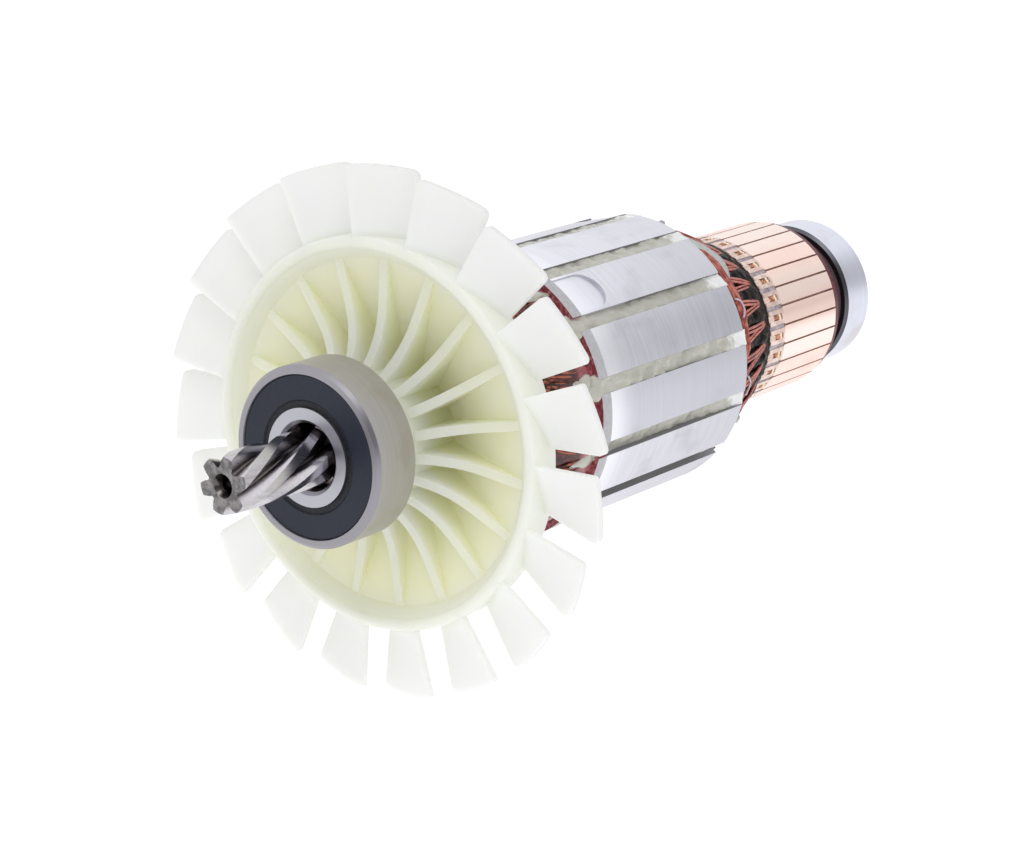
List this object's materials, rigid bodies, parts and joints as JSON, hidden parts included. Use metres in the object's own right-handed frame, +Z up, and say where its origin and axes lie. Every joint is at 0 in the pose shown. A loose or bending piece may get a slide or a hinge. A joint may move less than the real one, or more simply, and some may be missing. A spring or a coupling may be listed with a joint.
{
  "type": "motor armature",
  "caption": "Universal motor armature: wound slotted core, commutator, axial fan and helical pinion on one shaft, carried in a sealed ball bearing at each end.",
  "frame": {"origin": "on the shaft's axis, at the middle of the front bearing's width", "axes": "+X along the shaft from the pinion towards the commutator, +Z up as pictured"},
  "size_m": [0.1823, 0.0948, 0.0948],
  "materials": {
    "shaft_steel": "ground and hobbed steel, satin",
    "ring_steel": "ground bearing steel, satin bright",
    "seal_rubber": "moulded rubber seal, satin",
    "ball_steel": "polished bearing balls",
    "cage_steel": "pressed steel cage",
    "fan_nylon": "natural nylon moulding, satin, a little translucent",
    "sleeve_plastic": "moulded insulation",
    "lamination_steel": "turned electrical steel, bright satin",
    "disc_fibre": "grey insulating fibre",
    "liner_paper": "slot insulating paper",
    "slot_resin": "cured trickle resin, off-white",
    "winding_copper": "enamelled copper wire under red varnish, glossy",
    "lead_copper": "enamelled copper wire, bared at the risers",
    "binding_varnish": "cord and tape under black varnish",
    "bar_copper": "turned copper, bright",
    "moulding_phenolic": "dark red-brown phenolic moulding"
  },
  "bodies": {
    "front_ring": {"front_bearing_outer_ring": "ring_steel", "front_bearing_outer_seal": "seal_rubber", "front_bearing_inner_seal": "seal_rubber"},
    "rotor": {"armature_shaft": "shaft_steel", "front_bearing_inner_ring": "ring_steel", "rear_bearing_inner_ring": "ring_steel", "cooling_fan": "fan_nylon", "core_insulating_sleeve": "sleeve_plastic", "lamination_stack": "lamination_steel", "front_end_disc": "disc_fibre", "rear_end_disc": "disc_fibre", "slot_liners": "liner_paper", "slot_wedges": "slot_resin", "winding": "winding_copper", "riser_leads": "lead_copper", "lead_binding": "binding_varnish", "commutator_bars": "bar_copper", "commutator_moulding": "moulding_phenolic", "commutator_bush": "shaft_steel"},
    "front_cage": {"front_bearing_cage": "cage_steel", "front_bearing_balls": "ball_steel"},
    "rear_ring": {"rear_bearing_outer_ring": "ring_steel", "rear_bearing_outer_seal": "seal_rubber", "rear_bearing_inner_seal": "seal_rubber"},
    "rear_cage": {"rear_bearing_cage": "cage_steel", "rear_bearing_balls": "ball_steel"}
  },
  "joints": [
    {"name": "rotor_spin", "type": "hinge", "parent": "front_ring", "child": "rotor", "pos_m": [0, 0, 0], "axis": [1, 0, 0], "continuous": true},
    {"name": "front_cage_spin", "type": "hinge", "parent": "front_ring", "child": "front_cage", "pos_m": [0, 0, 0], "axis": [1, 0, 0], "continuous": true},
    {"name": "rear_ring_spin", "type": "hinge", "parent": "rotor", "child": "rear_ring", "pos_m": [0.1515, 0, 0], "axis": [1, 0, 0], "continuous": true},
    {"name": "rear_cage_spin", "type": "hinge", "parent": "rotor", "child": "rear_cage", "pos_m": [0.1515, 0, 0], "axis": [1, 0, 0], "continuous": true}
  ],
  "couplings": [
    {"joint": "front_cage_spin", "follows": "rotor_spin", "ratio": 0.3647},
    {"joint": "rear_cage_spin", "follows": "rear_ring_spin", "ratio": 0.6191}
  ]
}
